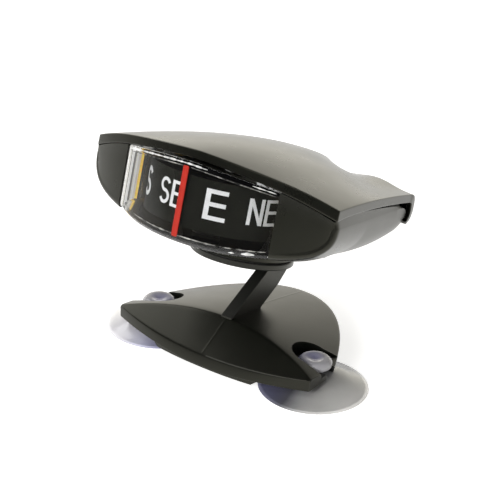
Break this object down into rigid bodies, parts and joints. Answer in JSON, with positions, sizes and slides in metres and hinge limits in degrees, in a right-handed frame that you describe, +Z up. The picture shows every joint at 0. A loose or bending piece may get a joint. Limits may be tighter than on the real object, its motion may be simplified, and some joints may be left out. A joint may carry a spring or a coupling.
{
  "type": "dashboard compass",
  "caption": "Liquid-filled car dashboard compass: a lettered drum card behind a clear curved window in a streamlined head that swivels on a foot with suction cups.",
  "frame": {"origin": "middle of the object's outer box, on the surface that the suction cups stand on", "axes": "+Z up; the window faces -Y; +X is to the right seen from behind the object, so the two suction cups lie along X"},
  "size_m": [0.1152, 0.0922, 0.0908],
  "materials": {
    "top_shell": "fine satin texture",
    "lower_shell": "fine satin texture",
    "capsule_body": "clear polished acrylic",
    "capsule_gasket": "soft matte",
    "capsule_back": "smooth",
    "filler_plug": "soft matte",
    "expansion_diaphragm": "soft matte",
    "lubber_line": "smooth",
    "pivot_post": "smooth",
    "pivot_pin": "ground",
    "jewel_cup": "polished",
    "card_hub": "matte",
    "card_drum": "matte with white printed letters",
    "card_magnets": "ground",
    "compensator_block": "matte",
    "compensator_ns": "turned",
    "compensator_ew": "turned",
    "compensator_magnet_ns": "ground",
    "compensator_magnet_ew": "ground",
    "block_screws": "turned",
    "shell_screws": "turned",
    "swivel_screw": "turned",
    "spring_washer": "rolled",
    "thrust_washer": "matte",
    "stand": "fine satin texture",
    "suction_cup_left": "clear soft vinyl",
    "suction_cup_right": "clear soft vinyl"
  },
  "bodies": {
    "base": {"stand": "stand", "suction_cup_left": "suction_cup_left", "suction_cup_right": "suction_cup_right", "swivel_screw": "swivel_screw", "thrust_washer": "thrust_washer"},
    "head": {"top_shell": "top_shell", "lower_shell": "lower_shell", "capsule_body": "capsule_body", "capsule_gasket": "capsule_gasket", "capsule_back": "capsule_back", "filler_plug": "filler_plug", "expansion_diaphragm": "expansion_diaphragm", "lubber_line": "lubber_line", "pivot_post": "pivot_post", "pivot_pin": "pivot_pin", "compensator_block": "compensator_block", "block_screws": "block_screws", "shell_screws": "shell_screws", "spring_washer": "spring_washer"},
    "card": {"jewel_cup": "jewel_cup", "card_hub": "card_hub", "card_drum": "card_drum", "card_magnets": "card_magnets"},
    "rotor_ns": {"compensator_ns": "compensator_ns", "compensator_magnet_ns": "compensator_magnet_ns"},
    "rotor_ew": {"compensator_ew": "compensator_ew", "compensator_magnet_ew": "compensator_magnet_ew"}
  },
  "joints": [
    {"name": "head_swivel", "type": "hinge", "parent": "base", "child": "head", "pos_m": [0, -0.0048, 0.0409], "axis": [0, 0.2419, 0.9703], "continuous": true},
    {"name": "card_spin", "type": "hinge", "parent": "head", "child": "card", "pos_m": [0, -0.02382, 0.04564], "axis": [0, 0.2419, 0.9703], "continuous": true},
    {"name": "compensator_ns_turn", "type": "hinge", "parent": "head", "child": "rotor_ns", "pos_m": [-0.013, 0.01655, 0.03558], "axis": [0, 0.2419, 0.9703], "continuous": true},
    {"name": "compensator_ew_turn", "type": "hinge", "parent": "head", "child": "rotor_ew", "pos_m": [0.013, 0.01655, 0.03558], "axis": [0, 0.2419, 0.9703], "continuous": true}
  ]
}
